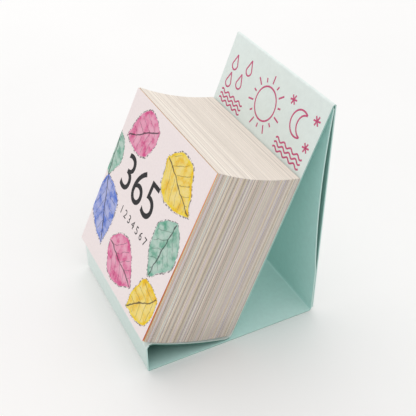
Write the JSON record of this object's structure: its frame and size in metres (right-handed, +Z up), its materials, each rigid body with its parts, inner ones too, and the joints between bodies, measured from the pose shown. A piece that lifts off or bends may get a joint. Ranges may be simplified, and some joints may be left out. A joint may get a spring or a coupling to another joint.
{
  "type": "tear off day calendar",
  "caption": "Desk day calendar: a thick glued pad of tear-off leaves with a cover, on a folded card easel with a ledge, lip, header and doubled back.",
  "frame": {"origin": "on the table, under the middle of the object's box", "axes": "+X to the calendar's right as it is read from the front, +Y towards its back, +Z up"},
  "size_m": [0.08, 0.0892, 0.1137],
  "materials": {
    "mint_card": "matt card",
    "leaf_paper": "uncoated paper",
    "cover_paper": "uncoated paper",
    "backing": "uncoated card",
    "binding_glue": "dried glue",
    "tape": "tape"
  },
  "bodies": {
    "stand": {"base_panel": "mint_card", "front_lip": "mint_card", "ledge_panel": "mint_card", "easel_panel": "mint_card", "inner_back_panel": "mint_card", "flap_tape": "tape", "lower_pad_tape": "tape", "upper_pad_tape": "tape", "backing_sheet": "backing"},
    "back_flap": {"outer_back_panel": "mint_card"},
    "december_block": {"december_leaves": "leaf_paper", "december_glue": "binding_glue"},
    "november_block": {"november_leaves": "leaf_paper", "november_glue": "binding_glue"},
    "october_block": {"october_leaves": "leaf_paper", "october_glue": "binding_glue"},
    "september_block": {"september_leaves": "leaf_paper", "september_glue": "binding_glue"},
    "august_block": {"august_leaves": "leaf_paper", "august_glue": "binding_glue"},
    "july_block": {"july_leaves": "leaf_paper", "july_glue": "binding_glue"},
    "june_block": {"june_leaves": "leaf_paper", "june_glue": "binding_glue"},
    "may_block": {"may_leaves": "leaf_paper", "may_glue": "binding_glue"},
    "april_block": {"april_leaves": "leaf_paper", "april_glue": "binding_glue"},
    "march_block": {"march_leaves": "leaf_paper", "march_glue": "binding_glue"},
    "february_block": {"february_leaves": "leaf_paper", "february_glue": "binding_glue"},
    "january_block": {"january_leaves": "leaf_paper", "january_glue": "binding_glue"},
    "day_sheet_2": {"day_sheet_2": "leaf_paper"},
    "day_sheet_1": {"day_sheet_1": "leaf_paper"},
    "cover_sheet": {"cover_sheet": "cover_paper"}
  },
  "joints": [
    {"name": "back_flap_swing", "type": "hinge", "parent": "stand", "child": "back_flap", "pos_m": [0, 0.04373, 0.1128], "axis": [1, 0, 0], "range_deg": [0, 150]},
    {"name": "december_lift", "type": "hinge", "parent": "stand", "child": "december_block", "pos_m": [0, 0.02991, 0.08207], "axis": [1, 0, 0], "range_deg": [-7, 0]},
    {"name": "november_lift", "type": "hinge", "parent": "december_block", "child": "november_block", "pos_m": [0, 0.0264, 0.08272], "axis": [1, 0, 0], "range_deg": [-7, 0]},
    {"name": "october_lift", "type": "hinge", "parent": "november_block", "child": "october_block", "pos_m": [0, 0.02305, 0.08346], "axis": [1, 0, 0], "range_deg": [-7, 0]},
    {"name": "september_lift", "type": "hinge", "parent": "october_block", "child": "september_block", "pos_m": [0, 0.01963, 0.08432], "axis": [1, 0, 0], "range_deg": [-7, 0]},
    {"name": "august_lift", "type": "hinge", "parent": "september_block", "child": "august_block", "pos_m": [0, 0.01635, 0.08526], "axis": [1, 0, 0], "range_deg": [-7, 0]},
    {"name": "july_lift", "type": "hinge", "parent": "august_block", "child": "july_block", "pos_m": [0, 0.01302, 0.08633], "axis": [1, 0, 0], "range_deg": [-7, 0]},
    {"name": "june_lift", "type": "hinge", "parent": "july_block", "child": "june_block", "pos_m": [0, 0.00972, 0.08751], "axis": [1, 0, 0], "range_deg": [-7, 0]},
    {"name": "may_lift", "type": "hinge", "parent": "june_block", "child": "may_block", "pos_m": [0, 0.00657, 0.08875], "axis": [1, 0, 0], "range_deg": [-7, 0]},
    {"name": "april_lift", "type": "hinge", "parent": "may_block", "child": "april_block", "pos_m": [0, 0.00335, 0.09014], "axis": [1, 0, 0], "range_deg": [-7, 0]},
    {"name": "march_lift", "type": "hinge", "parent": "april_block", "child": "march_block", "pos_m": [0, 0.00028, 0.09159], "axis": [1, 0, 0], "range_deg": [-7, 0]},
    {"name": "february_lift", "type": "hinge", "parent": "march_block", "child": "february_block", "pos_m": [0, -0.00285, 0.09318], "axis": [1, 0, 0], "range_deg": [-7, 0]},
    {"name": "january_lift", "type": "hinge", "parent": "february_block", "child": "january_block", "pos_m": [0, -0.00564, 0.09471], "axis": [1, 0, 0], "range_deg": [-7, 0]},
    {"name": "day_sheet_2_lift", "type": "hinge", "parent": "january_block", "child": "day_sheet_2", "pos_m": [0, -0.00853, 0.09622], "axis": [1, 0, 0], "range_deg": [-25, 0]},
    {"name": "day_sheet_1_lift", "type": "hinge", "parent": "day_sheet_2", "child": "day_sheet_1", "pos_m": [0, -0.00864, 0.09627], "axis": [1, 0, 0], "range_deg": [-25, 0]},
    {"name": "cover_sheet_lift", "type": "hinge", "parent": "day_sheet_1", "child": "cover_sheet", "pos_m": [0, -0.00883, 0.09629], "axis": [1, 0, 0], "range_deg": [-105, 0]}
  ]
}
